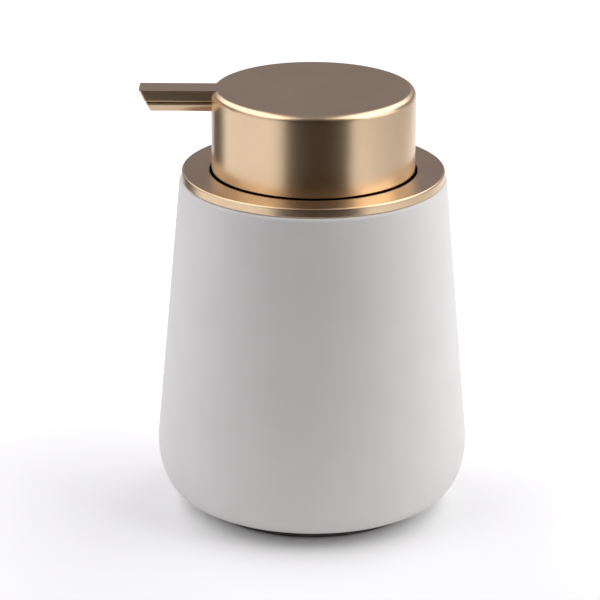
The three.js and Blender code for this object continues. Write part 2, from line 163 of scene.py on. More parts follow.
# %% Vessel
BELLY = 42.5  # widest radius
TAPER = math.radians(5.03)
UNDERSIDE = 3.7
BEND_OUT, BEND_UP = 7.2, 13.9  # half axes of the bend
WALL = 4.8
MOUTH = 31.5  # radius of the opening
MOUTH_DEPTH = 13.5
SHOULDER_DROP = 5  # from the end of the mouth to the inside wall's own taper
INSIDE_FLOOR = 8.7
INSIDE_BEND = 3
FOOT, FOOT_INSIDE, FOOT_SLOPE, FOOT_HOLLOW = 31.2, 25.8, 0.8, 1.2


def arc(r, z, half_r, half_z, start, end, count):
    """Points on an ellipse's arc, from one angle to another in degrees, 0 being straight outwards."""
    angles = [math.radians(start + (end - start) * i / count) for i in range(count + 1)]
    return [(r + half_r * math.cos(a), z + half_z * math.sin(a), 0) for a in angles]


bend_r = BELLY - BEND_OUT
bend_z = UNDERSIDE + BEND_UP
bend_end = math.atan2(math.tan(TAPER) * BEND_UP, BEND_OUT)
bend_points = arc(bend_r, bend_z, BEND_OUT, BEND_UP, -90, math.degrees(bend_end), 26)


def wall_radius(z):
    """The belly's outer radius at a height on the straight part of the wall."""
    r, start, _ = bend_points[-1]
    return r - math.tan(TAPER) * (z - start)


shoulder = rim_z - MOUTH_DEPTH - SHOULDER_DROP
vessel = turned("stoneware_vessel", [
    (0, vessel_low + FOOT_HOLLOW, 0),
    (FOOT_INSIDE - FOOT_SLOPE, vessel_low + FOOT_HOLLOW, 0.4),
    (FOOT_INSIDE, vessel_low, 0.3),
    (FOOT, vessel_low, 0.5),
    (FOOT, UNDERSIDE - 0.4, 0),
    (FOOT + 0.1, UNDERSIDE - 0.13, 0),
    (FOOT + 0.4, UNDERSIDE, 0),
    *bend_points,
    (wall_radius(rim_z), rim_z, 0.8),
    (MOUTH, rim_z, 0.4),
    (MOUTH, rim_z - MOUTH_DEPTH, 1.5),
    (wall_radius(shoulder) - WALL, shoulder, 3),
    (wall_radius(bend_z) - WALL, bend_z, 0),
    *arc(
        bend_r - INSIDE_BEND, bend_z, BEND_OUT - WALL + INSIDE_BEND, bend_z - INSIDE_FLOOR, 0, -90, 12,
    )[1:],
    (0, INSIDE_FLOOR, 0),
], around=160)
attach(vessel, "vessel")
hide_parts("ceramic_vessel")

pad = turned("non_slip_pad", [
    (0, pad_low, 0), (pad_radius, pad_low, 0.35), (pad_radius, pad_high, 0.2), (0, pad_high, 0),
])
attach(pad, "vessel")
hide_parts("base_pad")

# %% [markdown]
# ## The pump unit's outside
#
# The collar ring is pressed from sheet metal: a flat plate whose outer edge is turned down over the black
# stopper body. That body is a cup. The press cap sinks into it, and a silicone seal with three fins grips
# the mouth of the vessel, so the whole pump unit pulls out for refilling.

# %% Collar ring, well cup and seal
RING_PLATE, RING_SKIRT, RING_HOLE = 1.3, 1.25, 27.95
ring = turned("brass_collar", [
    (ring_radius - RING_SKIRT, ring_low, 0.2),
    (ring_radius, ring_low, 0.25),
    (ring_radius, ring_high, 0.4),
    (RING_HOLE, ring_high, 0.3),
    (RING_HOLE, ring_high - RING_PLATE, 0.2),
    (ring_radius - RING_SKIRT, ring_high - RING_PLATE, 0.2),
], around=160)
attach(ring, "pump_unit")
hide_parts("collar_ring")

WELL, CUP_OUTSIDE, CUP_FLOOR, CUP_THICK = 28.3, 30.2, 82, 1.6
GROOVE, GROOVE_LOW, GROOVE_HIGH = 0.7, 82.2, 90.6
NECK_BORE, NECK, NECK_RIM = 9.3, 10.6, 89.5
cup_top = ring_high - RING_PLATE - FIT
cup = turned("black_well", [
    (NECK_BORE, CUP_FLOOR - CUP_THICK, 0.3),
    (CUP_OUTSIDE, CUP_FLOOR - CUP_THICK, 0.9),
    (CUP_OUTSIDE, GROOVE_LOW, 0.15),
    (CUP_OUTSIDE - GROOVE, GROOVE_LOW, 0),
    (CUP_OUTSIDE - GROOVE, GROOVE_HIGH, 0),
    (CUP_OUTSIDE, GROOVE_HIGH, 0.15),
    (CUP_OUTSIDE, rim_z + FIT, 0.2),
    (ring_radius - RING_SKIRT - 0.15, rim_z + FIT, 0.2),
    (ring_radius - RING_SKIRT - 0.15, cup_top, 0.2),
    (WELL, cup_top, 0.3),
    (WELL, CUP_FLOOR, 1),
    (NECK, CUP_FLOOR, 0.6),
    (NECK, NECK_RIM, 0.3),
    (NECK_BORE, NECK_RIM, 0.2),
])
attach(cup, "pump_unit")
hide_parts("well_cup")

FINS = 3
SEAL_BODY, SEAL_FIN = 30.7, 31.4
FIN_HALF, FIN_TIP = 0.75, 0.4  # half a fin's root, and how far its tip stands above the middle
seal_low, seal_high = GROOVE_LOW + FIT, GROOVE_HIGH - FIT
seal_inside = CUP_OUTSIDE - GROOVE + FIT
seal_outline = [(seal_inside, seal_low, 0.2), (SEAL_BODY, seal_low, 0.4)]
for i in range(FINS):
    middle = seal_low + (seal_high - seal_low) * (i + 0.5) / FINS
    seal_outline += [
        (SEAL_BODY, middle - FIN_HALF, 0.25),
        (SEAL_FIN, middle + FIN_TIP, 0.12),
        (SEAL_BODY, middle + FIN_HALF, 0.2),
    ]
seal_outline += [(SEAL_BODY, seal_high, 0.3), (seal_inside, seal_high, 0.2)]
seal = turned("finned_seal", seal_outline)
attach(seal, "pump_unit")
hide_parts("stopper_seal")

# %% [markdown]
# ## The press cap and its spout
#
# The cap is a drawn metal shell. The spout's cover is part of it: a flat bar as deep as three millimetres,
# flush with the cap's top, whose tip leans back. A separate channel piece, which carries the soap, closes
# the cover from below and shows as a second band under a fine shadow line.
#
# Spinning can't make the spout, so the cap is put together as a maker would plan it: a turned block and a
# bar are joined, then the hollow inside and the channel are taken out. Boolean modifiers do that, and their
# result is applied at once, so that only a plain mesh is left.

# %% Joining and cutting
def combined(target, tool, operation):
    """Joins the tool to the target, or cuts it out, and removes the tool."""
    step = target.modifiers.new(operation.lower(), "BOOLEAN")
    step.operation = operation
    step.solver = "EXACT"
    step.object = tool
    evaluated = target.evaluated_get(bpy.context.evaluated_depsgraph_get())
    mesh = bpy.data.meshes.new_from_object(evaluated)
    target.modifiers.clear()
    old = target.data
    target.data = mesh
    bpy.data.meshes.remove(old)
    mesh.name = target.name
    bpy.data.meshes.remove(tool.data)


def smoothed(piece):
    """Marks crisp edges again after a cut, and lets wide faces keep their own direction."""
    bm = bmesh.new()
    bm.from_mesh(piece.data)
    bmesh.ops.remove_doubles(bm, verts=bm.verts, dist=1e-7)
    bmesh.ops.dissolve_degenerate(bm, edges=bm.edges, dist=1e-7)
    for face in bm.faces:
        face.smooth = True
    for edge in bm.edges:
        edge.smooth = edge.is_manifold and edge.calc_face_angle() < SHARP
    open_edges = sum(not edge.is_manifold for edge in bm.edges)
    bm.to_mesh(piece.data)
    bm.free()
    steady = piece.modifiers.new("steady normals", "WEIGHTED_NORMAL")
    steady.keep_sharp = True
    steady.weight = 90
    print(f"{piece.name}: {len(piece.data.polygons)} faces, {open_edges} open edges")


# %% Cap and spout cover
CAP_WALL, CAP_ROOF, CAP_ROUND, CAP_LIP = 1.2, 1.5, 1.8, 0.5
SPOUT_WIDTH, COVER_SIDE, COVER_WALL = 7.7, 3.05, 1.1
SPOUT_LEAN = math.radians(25)
SPOUT_CORNER = 0.6
COVER_EDGES = (0.3, 0.1)  # rounding of the cover's lower and upper edges
COVER_ROOT = -20  # well inside the cap, so that the two join
cover_low = cap_high - COVER_SIDE


def bar(name, half_width, tip, root, low, high, corner, edges=()):
    """A flat bar along X from its root to its tip. The tip's corners are round and its face leans back."""
    bm = bmesh.new()
    outline = [(tip, half_width), (tip, -half_width), (root, -half_width), (root, half_width)]
    corners = [bm.verts.new((x, y, low)) for x, y in outline]
    for a, b in zip(corners, corners[1:] + corners[:1]):
        bm.edges.new((a, b))
    if corner:
        bmesh.ops.bevel(
            bm, geom=corners[:2], offset=corner, offset_type="OFFSET", segments=8,
            profile=0.5, affect="VERTICES", material=-1,
        )
    sheet = bmesh.ops.contextual_create(bm, geom=bm.edges[:])["faces"]
    lifted = bmesh.ops.extrude_face_region(bm, geom=sheet, use_keep_orig=True)["geom"]
    top = [v for v in lifted if isinstance(v, bmesh.types.BMVert)]
    bmesh.ops.translate(bm, vec=(0, 0, high - low), verts=top)
    for height, edge in zip((low, high), edges):
        rims = [
            e for e in bm.edges
            if all(abs(v.co.z - height) < 1e-6 for v in e.verts)
            and (e.verts[0].co + e.verts[1].co).x / 2 < root - 1e-3
        ]
        bmesh.ops.bevel(
            bm, geom=rims, offset=edge, offset_type="OFFSET", segments=3, profile=0.5,
            affect="EDGES", material=-1,
        )
    lean = Matrix.Identity(4)
    lean[0][2] = -math.tan(SPOUT_LEAN)
    middle = Matrix.Translation((0, 0, cap_high))
    bmesh.ops.transform(bm, matrix=middle @ lean @ middle.inverted(), verts=bm.verts)
    return finished(bm, name)


cap = turned("brass_cap", [
    (0, cap_low, 0), (cap_radius, cap_low, CAP_LIP), (cap_radius, cap_high, CAP_ROUND), (0, cap_high, 0),
], around=192, steps=9)
cover = bar(
    "cover", SPOUT_WIDTH / 2, spout_tip, COVER_ROOT, cover_low, cap_high, SPOUT_CORNER, COVER_EDGES,
)
combined(cap, cover, "UNION")
hollow = turned("hollow", [
    (0, cap_low - 1, 0), (cap_radius - CAP_WALL, cap_low - 1, 0),
    (cap_radius - CAP_WALL, cap_high - CAP_ROOF, 0.8), (0, cap_high - CAP_ROOF, 0),
], around=192)
combined(cap, hollow, "DIFFERENCE")
CHANNEL_END = -13
CORE_FACE = CHANNEL_END + 1 + 2 * FIT
groove = bar(
    "groove", SPOUT_WIDTH / 2 - COVER_WALL, spout_tip + COVER_WALL, CORE_FACE,
    cover_low - 0.02, cap_high - COVER_WALL, 0.4,
)
combined(cap, groove, "DIFFERENCE")


# %% The spout channel
INSET, SEAM, KEEL = 0.3, 0.45, 4.9


def channel_bar(name, low_x, high_x, grow):
    """The channel piece's section, carried along X. The slot that it passes through is larger by grow."""
    stem = SPOUT_WIDTH / 2 - COVER_WALL - FIT + grow
    shelf = SPOUT_WIDTH / 2 - INSET + grow
    shelf_z = cover_low - SEAM + grow
    half = [
        (KEEL / 2 + grow, spout_low - grow, 1.0),
        (shelf, shelf_z - 0.75, 0.5),
        (shelf, shelf_z, 0.1),
        (stem, shelf_z, 0),
        (stem, cap_high - COVER_WALL - FIT + grow, 0.2),
    ]
    bm = bmesh.new()
    section = half + [(-y, z, corner) for y, z, corner in reversed(half)]
    points = [bm.verts.new((low_x, y, z)) for y, z, _ in section]
    for a, b in zip(points, points[1:] + points[:1]):
        bm.edges.new((a, b))
    for point, (_, _, corner) in zip(points, section):
        if corner:
            bmesh.ops.bevel(
                bm, geom=[point], offset=corner, offset_type="OFFSET", segments=6,
                profile=0.5, affect="VERTICES", material=-1,
            )
    face = bmesh.ops.contextual_create(bm, geom=bm.edges[:])["faces"]
    swept = bmesh.ops.extrude_face_region(bm, geom=face, use_keep_orig=True)["geom"]
    moved = [v for v in swept if isinstance(v, bmesh.types.BMVert)]
    bmesh.ops.translate(bm, vec=(high_x - low_x, 0, 0), verts=moved)
    return finished(bm, name)


combined(cap, channel_bar("slot", -cap_radius - 1, -cap_radius + 4, FIT), "DIFFERENCE")
smoothed(cap)
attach(cap, "head")
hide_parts("press_cap")

channel = channel_bar("brass_channel", spout_tip - 1, CHANNEL_END, 0)
below = bar(
    "below", SPOUT_WIDTH / 2 - INSET, spout_tip + INSET, 0, spout_low - 1, cover_low,
    SPOUT_CORNER - INSET,
)
within = bar(
    "within", SPOUT_WIDTH / 2 - COVER_WALL - FIT, spout_tip + COVER_WALL + FIT, 0,
    cover_low - 1, cap_high, 0.4,
)
combined(below, within, "UNION")
combined(channel, below, "INTERSECT")


# %% The duct and the outlet
DUCT = 1.3
OUTLET = 5.2
duct_z = cover_low - 0.2


def drill(name, radius, start, end):
    """A round bar between two points, to bore a hole with."""
    start, end = Vector(start), Vector(end)
    bm = bmesh.new()
    bmesh.ops.create_cone(
        bm, cap_ends=True, segments=48, radius1=radius, radius2=radius, depth=(end - start).length,
    )
    turn = (end - start).to_track_quat("Z", "Y").to_matrix().to_4x4()
    bmesh.ops.transform(bm, matrix=Matrix.Translation((start + end) / 2) @ turn, verts=bm.verts)
    return finished(bm, name)


outlet_x = spout_tip + OUTLET
combined(channel, drill("duct", DUCT, (outlet_x, 0, duct_z), (CHANNEL_END + 1, 0, duct_z)), "DIFFERENCE")
outlet_middle = outlet_x + DUCT
combined(
    channel,
    drill("outlet", DUCT, (outlet_middle, 0, spout_low - 1), (outlet_middle, 0, duct_z)),
    "DIFFERENCE",
)
smoothed(channel)
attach(channel, "head")
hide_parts("spout_channel")

# %% [markdown]
# ## The closure
#
# Under the cap, the pump hangs in the stopper body's neck. A ribbed black nut with a screw thread holds its
# flange down on a soft gasket. The thread is one ridge wound round the neck, so it is a small section
# carried round the axis while it climbs, and a spring is wound by the same helper.

# %% Winding a section
def wound(bm, section, spans):
    """Carries a closed section round the Z axis: each span is (turns, climb per turn, steps per turn)."""
    ring = section
    for turns, climb, steps in spans:
        count = round(turns * steps)
        ring = bmesh.ops.spin(
            bm, geom=ring, cent=(0, 0, 0), axis=(0, 0, 1), dvec=(0, 0, climb / steps),
            angle=2 * math.pi * turns, steps=count, use_duplicate=False,
        )["geom_last"]
    open_edges = [edge for edge in bm.edges if edge.is_boundary]
    bmesh.ops.holes_fill(bm, edges=open_edges)


def ridge(name, root, crest, low, turns, pitch):
    """One ridge of a screw thread, from its root radius to its crest."""
    bm = bmesh.new()
    half_root, half_crest = 0.75, 0.3
    profile = [(root, -half_root), (crest, -half_crest), (crest, half_crest), (root, half_root)]
    points = [bm.verts.new((r, 0, low + z)) for r, z in profile]
    for a, b in zip(points, points[1:] + points[:1]):
        bm.edges.new((a, b))
    wound(bm, bm.verts[:] + bm.edges[:], [(turns, pitch, SLIM)])
    return finished(bm, name)


# %% Threads, closure nut and gasket
THREAD_LOW, THREAD_PITCH, THREAD_TURNS, NECK_CREST = 83.2, 3.2, 1.15, 11.5
combined(cup, ridge("neck thread", NECK - 0.3, NECK_CREST, THREAD_LOW, THREAD_TURNS, THREAD_PITCH), "UNION")
smoothed(cup)

nut_radius, nut_low, nut_high = size_of("closure_nut")
RIB_OUT, RIB_HALF, RIBS, NUT_INSIDE, NUT_CREST, NUT_PLATE, NUT_HOLE = 0.35, 0.35, 16, 11.9, 10.95, 1.35, 8.2
nut_body = nut_radius - RIB_OUT
nut = turned("ribbed_nut", [
    (NUT_INSIDE, nut_low, 0.2),
    (nut_body, nut_low, 0.2),
    (nut_body, nut_high, 0.6),
    (NUT_HOLE, nut_high, 0.3),
    (NUT_HOLE, nut_high - NUT_PLATE, 0.15),
    (NUT_INSIDE, nut_high - NUT_PLATE, 0.3),
])
start = THREAD_LOW + THREAD_PITCH / 2
combined(nut, ridge("nut thread", NUT_INSIDE + 0.3, NUT_CREST, start, THREAD_TURNS, THREAD_PITCH), "UNION")


def ribs(name, count, near, far, half, low, high, edge, first=0.0):
    """Upright bars set evenly round the axis, as one piece to be joined to a body."""
    bm = bmesh.new()
    for i in range(count):
        made = bmesh.ops.create_cube(bm, size=1)["verts"]
        bmesh.ops.scale(bm, vec=(far - near, 2 * half, high - low), verts=made)
        bmesh.ops.translate(bm, vec=((near + far) / 2, 0, (low + high) / 2), verts=made)
        turn = Matrix.Rotation(2 * math.pi * (i + first) / count, 3, "Z")
        bmesh.ops.rotate(bm, cent=(0, 0, 0), matrix=turn, verts=made)
    bmesh.ops.bevel(
        bm, geom=bm.edges[:], offset=edge, offset_type="OFFSET", segments=2, profile=0.5,
        affect="EDGES", material=-1,
    )
    return finished(bm, name)


grip = ribs("grip", RIBS, nut_body - 0.5, nut_radius, RIB_HALF, nut_low + 0.1, nut_high - 1.2, 0.12)
combined(nut, grip, "UNION")
smoothed(nut)
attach(nut, "pump_unit")
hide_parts("closure_nut")

gasket_radius, gasket_low, gasket_high = size_of("neck_gasket")
GASKET_HOLE = 7.5
gasket = turned("neck_washer", [
    (GASKET_HOLE, gasket_low, 0.1), (gasket_radius, gasket_low, 0.1),
    (gasket_radius, gasket_high, 0.1), (GASKET_HOLE, gasket_high, 0.1),
], SLIM, 2)
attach(gasket, "pump_unit")
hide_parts("neck_gasket")

# %% [markdown]
# ## The pump's fixed parts
#
# The housing is a moulded cylinder that narrows in steps: the piston's bore, the chamber of the inlet ball
# with its conical seat, and the socket that the dip tube is pushed into. Three beads over the ball keep it in
# its chamber, and a pinhole under the flange lets air into the vessel as the soap goes out.

# %% Housing
flange_radius, housing_low, flange_top = size_of("pump_housing")
CYLINDER, BORE, LEDGE, CHAMBER, FLANGE_THICK = 7.2, 5.5, 54, 3.3, 1.25
SEAT, SEAT_LOW, SEAT_HIGH = 1.6, 46.8, 49
SOCKET, SOCKET_BORE, SOCKET_TOP = 4.5, 3.1, 45.5
AIR_HOLE = 0.6
flange_low = flange_top - FLANGE_THICK
housing = turned("pump_cylinder", [
    (SOCKET_BORE, housing_low, 0.3),
    (SOCKET, housing_low, 0.3),
    (SOCKET, SEAT_HIGH - 1, 0.8),
    (CYLINDER, LEDGE - 1, 0.8),
    (CYLINDER, flange_low, 0.4),
    (flange_radius, flange_low, 0.2),
    (flange_radius, flange_top, 0.25),
    (BORE, flange_top, 0.4),
    (BORE, LEDGE, 0.3),
    (CHAMBER, LEDGE, 0.2),
    (CHAMBER, SEAT_HIGH, 0.2),
    (SEAT, SEAT_LOW, 0.1),
    (SEAT, SOCKET_TOP, 0.1),
    (SOCKET_BORE, SOCKET_TOP, 0.1),
], 96)
beads = ribs("beads", 3, 2.1, CHAMBER + 0.5, 0.6, LEDGE - 0.9, LEDGE - 0.1, 0.15)
combined(housing, beads, "UNION")
air_z = flange_low - 4
combined(housing, drill("air hole", AIR_HOLE, (BORE - 1, 0, air_z), (CYLINDER + 1, 0, air_z)), "DIFFERENCE")
smoothed(housing)
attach(housing, "pump_unit")
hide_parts("pump_housing")

# %% [markdown]
# The dip tube is extruded and cut to length. Its lower end is cut on the slant, so that it can't seal itself
# against the vessel's floor. Here the plane cuts the tube, and the two open edges are bridged.

# %% Dip tube
tube_radius, tube_low, tube_high = size_of("dip_tube")
TUBE_BORE = 2.0
TUBE_SLANT = math.radians(35)
TUBE_SPARE = 4  # mm of extra length below, cut away by the slant
bm = bmesh.new()
outline = [
    (TUBE_BORE, tube_low - TUBE_SPARE), (TUBE_BORE, tube_high),
    (tube_radius, tube_high), (tube_radius, tube_low - TUBE_SPARE),
]
chain = [bm.verts.new((r, 0, z)) for r, z in outline]
for a, b in zip(chain, chain[1:]):
    bm.edges.new((a, b))
bmesh.ops.bevel(
    bm, geom=chain[1:3], offset=0.15, offset_type="OFFSET", segments=2, profile=0.5,
    affect="VERTICES", material=-1,
)
bmesh.ops.spin(
    bm, geom=bm.verts[:] + bm.edges[:], cent=(0, 0, 0), axis=(0, 0, 1),
    angle=2 * math.pi, steps=48, use_merge=True,
)
bmesh.ops.bisect_plane(
    bm, geom=bm.verts[:] + bm.edges[:] + bm.faces[:], plane_co=(0, 0, tube_low + tube_radius * 0.7),
    plane_no=(math.sin(TUBE_SLANT), 0, math.cos(TUBE_SLANT)), clear_inner=True,
)
bmesh.ops.bridge_loops(bm, edges=[edge for edge in bm.edges if edge.is_boundary])
tube = finished(bm, "slant_cut_tube")
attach(tube, "pump_unit")
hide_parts("dip_tube")

# %% [markdown]
# The return spring is wound from round wire, with one closed turn at each end so that it stands level. Its
# foot stays on the housing's ledge while the rod's head presses on its top. The stroke squashes the real
# spring; this one keeps its rest length.

# %% Return spring
spring_radius, spring_low, spring_high = size_of("return_spring")
WIRE, COILS, CLOSED = 0.9, 7, 1
HEAD_LOW, HEAD_HIGH = 74.6, 76.6  # the rod's head, which presses on the spring
coil_radius = spring_radius - WIRE / 2
flat = WIRE * 1.06
rise = (spring_high - spring_low - WIRE - 2 * CLOSED * flat) / (COILS - 2 * CLOSED)
bm = bmesh.new()
bmesh.ops.create_circle(bm, cap_ends=False, radius=WIRE / 2, segments=16)
bmesh.ops.rotate(bm, cent=(0, 0, 0), matrix=Matrix.Rotation(math.radians(90), 3, "X"), verts=bm.verts)
bmesh.ops.translate(bm, vec=(coil_radius, 0, spring_low + WIRE / 2), verts=bm.verts)
wound(bm, bm.verts[:] + bm.edges[:], [(CLOSED, flat, 40), (COILS - 2 * CLOSED, rise, 40), (CLOSED, flat, 40)])
spring = finished(bm, "wound_spring")
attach(spring, "pump_unit")
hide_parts("return_spring")
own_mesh(spring)

# %% [markdown]
# The guide collar is pushed into the housing's mouth. It steers the stem, and its lower end is the stop that
# the stem's shoulder comes up against. The inlet ball is a plain glass bead that rests on the conical seat.

# %% Guide collar and ball
guide_radius, guide_low, guide_high = size_of("guide_collar")
TOWER, SLEEVE, GUIDE_BORE, GUIDE_FLANGE = 5.6, 5.42, 3.35, 1.2
guide = turned("stem_guide", [
    (GUIDE_BORE, guide_low, 0.2),
    (SLEEVE, guide_low, 0.3),
    (SLEEVE, flange_top + FIT, 0.1),
    (guide_radius, flange_top + FIT, 0.2),
    (guide_radius, flange_top + FIT + GUIDE_FLANGE, 0.3),
    (TOWER, flange_top + FIT + GUIDE_FLANGE, 0.4),
    (TOWER, guide_high, 0.5),
    (GUIDE_BORE, guide_high, 0.3),
], SLIM)
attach(guide, "pump_unit")
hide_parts("guide_collar")

ball_radius, ball_low, ball_high = size_of("inlet_ball")
bm = bmesh.new()
bmesh.ops.create_icosphere(bm, subdivisions=4, radius=ball_radius)
bmesh.ops.translate(bm, vec=(0, 0, (ball_low + ball_high) / 2), verts=bm.verts)
ball = finished(bm, "glass_bead")
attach(ball, "inlet_valve")
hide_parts("inlet_ball")

# %% [markdown]
# ## The pump's moving parts
#
# The stem is the tube that the cap pushes down. The valve rod is pressed into its lower end, and the piston
# slides a millimetre on the rod: on the way down it lifts off the rod's head and lets soap up into the stem,
# and on the way back it seats again and draws new soap in. The piston's two lips are thin and flared.

# %% Stem, valve rod and piston
_, stem_low, stem_high = size_of("stem")
STEM_OUT, STEM_BORE, SHOULDER, SHOULDER_LOW, SHOULDER_HIGH = 3.2, 1.9, 4.0, 83.95, 84.95
stem = turned("hollow_stem", [
    (STEM_BORE, stem_low, 0.2),
    (STEM_OUT, stem_low, 0.2),
    (STEM_OUT, SHOULDER_LOW, 0.1),
    (SHOULDER, SHOULDER_LOW, 0.2),
    (SHOULDER, SHOULDER_HIGH, 0.2),
    (STEM_OUT, SHOULDER_HIGH, 0.2),
    (STEM_OUT, stem_high, 0.5),
    (STEM_BORE, stem_high, 0.2),
], SLIM)
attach(stem, "plunger")
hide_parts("stem")

rod_radius, rod_low, rod_high = size_of("valve_rod")
ROD_PLUG, ROD_NECK, ROD_TAIL, ROD_DUCT = 1.85, 2.6, 2.4, 1.1
CROSS_HOLE = 0.8
rod = turned("stepped_rod", [
    (0, rod_low, 0),
    (ROD_TAIL, rod_low, 0.6),
    (ROD_TAIL, HEAD_LOW, 0.3),
    (rod_radius, HEAD_LOW, 0.2),
    (rod_radius, HEAD_HIGH - 0.6, 0.15),
    (rod_radius - 0.9, HEAD_HIGH, 0.2),
    (ROD_NECK, HEAD_HIGH, 0.3),
    (ROD_NECK, stem_low - FIT, 0.2),
    (ROD_PLUG, stem_low - FIT, 0.1),
    (ROD_PLUG, rod_high, 0.2),
    (0, rod_high, 0),
], SLIM)
combined(rod, drill("duct bore", ROD_DUCT, (0, 0, HEAD_HIGH + 0.8), (0, 0, rod_high + 1)), "DIFFERENCE")
cross_z = HEAD_HIGH + 1.8
for way in (Vector((ROD_NECK + 1, 0, 0)), Vector((0, ROD_NECK + 1, 0))):
    middle = Vector((0, 0, cross_z))
    combined(rod, drill("cross hole", CROSS_HOLE, middle - way, middle + way), "DIFFERENCE")
smoothed(rod)
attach(rod, "plunger")
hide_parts("valve_rod")

lip_radius, piston_low, piston_high = size_of("piston")
WAIST, PISTON_BORE, STEP, POCKET = 4.7, 2.85, 3.5, 4.25
STEP_Z, POCKET_Z = 80.5, 82.9
piston = turned("lipped_piston", [
    (PISTON_BORE, piston_low + 0.2, 0.1),
    (rod_radius - 1, piston_low + 0.2, 0),
    (lip_radius - 0.25, piston_low, 0.05),
    (lip_radius, piston_low + 0.4, 0.05),
    (WAIST, piston_low + 2.4, 0.6),
    (WAIST, piston_high - 2.2, 0.6),
    (lip_radius, piston_high - 0.3, 0.05),
    (lip_radius - 0.3, piston_high, 0.05),
    (POCKET, piston_high, 0.15),
    (POCKET, POCKET_Z, 0.1),
    (STEP, POCKET_Z, 0.1),
    (STEP, STEP_Z, 0.1),
    (PISTON_BORE, STEP_Z, 0.1),
], SLIM)
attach(piston, "piston")
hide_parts("piston")

# %% [markdown]
# ## Inside the head
#
# A white moulding fills the cap from within. Its hub is pressed on the stem, its disc carries the cap's roof
# on six ribs, and a duct leads from the hub to the spout's channel, with a silicone washer at the joint.

# %% Core and spout washer
core_radius, core_low, core_high = size_of("actuator_core")
HUB, CORE_SOCKET, DISC_THICK, CORE_RIBS, RIB_HEIGHT, SLOT_HALF = 6.4, 3.3, 1.1, 6, 2.4, 4.6
disc_low = core_high - DISC_THICK
ceiling = duct_z + DUCT
core = turned("head_core", [
    (0, ceiling, 0),
    (DUCT + 0.4, ceiling, 0.2),
    (DUCT + 0.4, stem_high + 0.1, 0.1),
    (CORE_SOCKET, stem_high + 0.1, 0.1),
    (CORE_SOCKET, core_low, 0.3),
    (HUB, core_low, 0.5),
    (HUB, disc_low, 0.5),
    (core_radius, disc_low, 0.2),
    (core_radius, core_high, 0.2),
    (0, core_high, 0),
])
spokes = ribs(
    "spokes", CORE_RIBS, HUB - 0.5, core_radius - 1.5, 0.6, disc_low - RIB_HEIGHT, core_high - 0.3, 0.15, 0.5,
)
combined(core, spokes, "UNION")


def block(name, low, high):
    """A plain block between two corners, to cut with."""
    low, high = Vector(low), Vector(high)
    bm = bmesh.new()
    bmesh.ops.create_cube(bm, size=1)
    bmesh.ops.scale(bm, vec=high - low, verts=bm.verts)
    bmesh.ops.translate(bm, vec=(low + high) / 2, verts=bm.verts)
    return finished(bm, name)


WASHER = 2.1
slot_low, slot_high = (-core_radius - 1, -SLOT_HALF, core_low), (CORE_FACE, SLOT_HALF, cap_high)
combined(core, block("slot cutter", slot_low, slot_high), "DIFFERENCE")
arm = drill("arm", WASHER + 0.6, (CORE_FACE, 0, duct_z), (-HUB + 1, 0, duct_z))
below_top = block("arm limit", (-core_radius, -SLOT_HALF, core_low), (0, SLOT_HALF, core_high - 0.1))
combined(arm, below_top, "INTERSECT")
combined(core, arm, "UNION")
combined(core, drill("core duct", DUCT, (CORE_FACE - 1, 0, duct_z), (0, 0, duct_z)), "DIFFERENCE")
smoothed(core)
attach(core, "head")
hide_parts("actuator_core")

bm = bmesh.new()
washer_near, washer_far = CHANNEL_END + FIT, CORE_FACE - FIT
section = [(DUCT, washer_near), (WASHER, washer_near), (WASHER, washer_far), (DUCT, washer_far)]
points = [bm.verts.new((x, 0, duct_z + r)) for r, x in section]
for a, b in zip(points, points[1:] + points[:1]):
    bm.edges.new((a, b))
bmesh.ops.bevel(
    bm, geom=bm.verts[:], offset=0.1, offset_type="OFFSET", segments=2, profile=0.5,
    affect="VERTICES", material=-1,
)
bmesh.ops.spin(
    bm, geom=bm.verts[:] + bm.edges[:], cent=(0, 0, duct_z), axis=(1, 0, 0),
    angle=2 * math.pi, steps=48, use_merge=True,
)
washer = finished(bm, "spout_washer")
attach(washer, "head")
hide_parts("spout_seal")


# %% [markdown]
# ## Finishes
#
# Each finish is a Principled shader whose colour, roughness and bump come from fine noise. The noise reads
# Object coordinates, which are metres here, and a Mapping node turns them into millimetres, so that a scale
# of 2 means two grains to the millimetre. A number that is the same all over sits on the shader's own socket.

# %% Finish helpers
PER_MM = 1 / MM
NOISE_LOW, NOISE_HIGH = 0.3, 0.7  # noise seldom leaves this range


